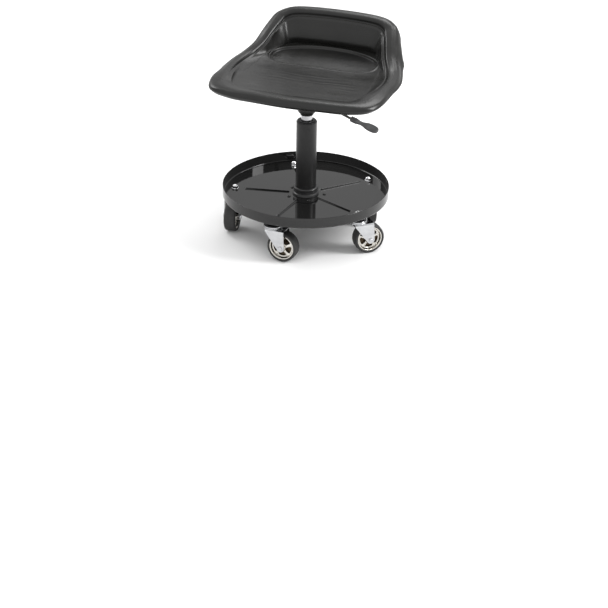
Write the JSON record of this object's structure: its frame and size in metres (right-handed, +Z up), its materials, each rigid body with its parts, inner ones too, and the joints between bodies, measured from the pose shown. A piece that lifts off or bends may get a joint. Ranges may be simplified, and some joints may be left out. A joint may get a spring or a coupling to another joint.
{
  "type": "mechanic's roller seat",
  "caption": "Low-back moulded shop seat on a gas lift, with a round tool tray below it and swivel casters under the tray.",
  "frame": {"origin": "on the floor, at the middle of the object's footprint box; the column's axis stands at x 0, y -0.02815", "axes": "+Z up; the seat faces -Y at rest; the height lever points to +X"},
  "size_m": [0.4388, 0.4624, 0.493],
  "materials": {
    "black_enamel": "gloss",
    "satin_black_steel": "satin",
    "black_plastic": "satin",
    "seat_foam": "satin",
    "chrome": "polished",
    "zinc_plate": "satin",
    "tyre_rubber": "matte",
    "bare_steel": "satin",
    "bumper_rubber": "matte"
  },
  "bodies": {
    "base": {"tool_tray": "black_enamel", "hub_plate": "satin_black_steel", "hub_screw_1": "satin_black_steel", "hub_screw_2": "satin_black_steel", "hub_screw_3": "satin_black_steel", "hub_screw_4": "satin_black_steel", "hub_screw_5": "satin_black_steel", "column_collar": "black_plastic", "column_tube": "satin_black_steel", "column_bushing": "black_plastic", "column_end_cap": "satin_black_steel", "thrust_bearing_race": "bare_steel", "caster_1_stem": "zinc_plate", "caster_2_stem": "zinc_plate", "caster_3_stem": "zinc_plate", "caster_4_stem": "zinc_plate", "caster_5_stem": "zinc_plate", "caster_1_cap_nut": "chrome", "caster_2_cap_nut": "chrome", "caster_3_cap_nut": "chrome", "caster_4_cap_nut": "chrome", "caster_5_cap_nut": "chrome"},
    "lift_rod": {"thrust_bearing_cage": "bare_steel", "lift_bumper": "bumper_rubber", "piston_rod": "chrome", "rod_retaining_clip": "bare_steel"},
    "seat": {"gas_cylinder": "chrome", "rod_guide": "black_plastic", "cylinder_socket": "satin_black_steel", "lever_housing": "satin_black_steel", "lever_pivot_pin": "bare_steel", "seat_plate": "satin_black_steel", "seat_bolt_1": "bare_steel", "seat_bolt_2": "bare_steel", "seat_bolt_3": "bare_steel", "seat_bolt_4": "bare_steel", "moulded_seat": "seat_foam"},
    "release_pin": {"release_pin": "bare_steel"},
    "lever": {"lever_rod": "bare_steel", "lever_handle": "black_plastic"},
    "caster_1_swivel": {"caster_1_fork": "zinc_plate", "caster_1_axle": "zinc_plate"},
    "caster_1_wheel": {"caster_1_rim": "chrome", "caster_1_tyre": "tyre_rubber"},
    "caster_2_swivel": {"caster_2_fork": "zinc_plate", "caster_2_axle": "zinc_plate"},
    "caster_2_wheel": {"caster_2_rim": "chrome", "caster_2_tyre": "tyre_rubber"},
    "caster_3_swivel": {"caster_3_fork": "zinc_plate", "caster_3_axle": "zinc_plate"},
    "caster_3_wheel": {"caster_3_rim": "chrome", "caster_3_tyre": "tyre_rubber"},
    "caster_4_swivel": {"caster_4_fork": "zinc_plate", "caster_4_axle": "zinc_plate"},
    "caster_4_wheel": {"caster_4_rim": "chrome", "caster_4_tyre": "tyre_rubber"},
    "caster_5_swivel": {"caster_5_fork": "zinc_plate", "caster_5_axle": "zinc_plate"},
    "caster_5_wheel": {"caster_5_rim": "chrome", "caster_5_tyre": "tyre_rubber"}
  },
  "joints": [
    {"name": "seat_swivel", "type": "hinge", "parent": "base", "child": "lift_rod", "pos_m": [0, -0.02815, 0.0945], "axis": [0, 0, 1], "continuous": true},
    {"name": "height_slide", "type": "slide", "parent": "lift_rod", "child": "seat", "axis": [0, 0, 1], "range_m": [0, 0.12]},
    {"name": "lever_lift", "type": "hinge", "parent": "seat", "child": "lever", "pos_m": [0.018, -0.02815, 0.352], "axis": [0, -1, 0], "range_deg": [0, 8], "stiffness_Nm_per_rad": 1.5, "springref_deg": -5.73},
    {"name": "release_pin_press", "type": "slide", "parent": "seat", "child": "release_pin", "axis": [0, 0, -1], "range_m": [0, 0.0026]},
    {"name": "caster_1_swivel", "type": "hinge", "parent": "base", "child": "caster_1_swivel", "pos_m": [0.12024, 0.099, 0.085], "axis": [0, 0, 1], "continuous": true},
    {"name": "caster_1_roll", "type": "hinge", "parent": "caster_1_swivel", "child": "caster_1_wheel", "pos_m": [0.1323, 0.07428, 0.0375], "axis": [0.8988, 0.4384, 0], "continuous": true},
    {"name": "caster_2_swivel", "type": "hinge", "parent": "base", "child": "caster_2_swivel", "pos_m": [-0.08377, 0.1255, 0.085], "axis": [0, 0, 1], "continuous": true},
    {"name": "caster_2_roll", "type": "hinge", "parent": "caster_2_swivel", "child": "caster_2_wheel", "pos_m": [-0.10869, 0.11388, 0.0375], "axis": [0.4226, -0.9063, 0], "continuous": true},
    {"name": "caster_3_swivel", "type": "hinge", "parent": "base", "child": "caster_3_swivel", "pos_m": [-0.17201, -0.06034, 0.085], "axis": [0, 0, 1], "continuous": true},
    {"name": "caster_3_roll", "type": "hinge", "parent": "caster_3_swivel", "child": "caster_3_wheel", "pos_m": [-0.16866, -0.08764, 0.0375], "axis": [0.9925, 0.1219, 0], "continuous": true},
    {"name": "caster_4_swivel", "type": "hinge", "parent": "base", "child": "caster_4_swivel", "pos_m": [-0.02254, -0.20169, 0.085], "axis": [0, 0, 1], "continuous": true},
    {"name": "caster_4_roll", "type": "hinge", "parent": "caster_4_swivel", "child": "caster_4_wheel", "pos_m": [0.00489, -0.20361, 0.0375], "axis": [0.0698, 0.9976, 0], "continuous": true},
    {"name": "caster_5_swivel", "type": "hinge", "parent": "base", "child": "caster_5_swivel", "pos_m": [0.15808, -0.10321, 0.085], "axis": [0, 0, 1], "continuous": true},
    {"name": "caster_5_roll", "type": "hinge", "parent": "caster_5_swivel", "child": "caster_5_wheel", "pos_m": [0.17946, -0.08591, 0.0375], "axis": [-0.6293, 0.7771, 0], "continuous": true}
  ],
  "couplings": [
    {"joint": "release_pin_press", "follows": "lever_lift", "m_per_rad": 0.018}
  ]
}
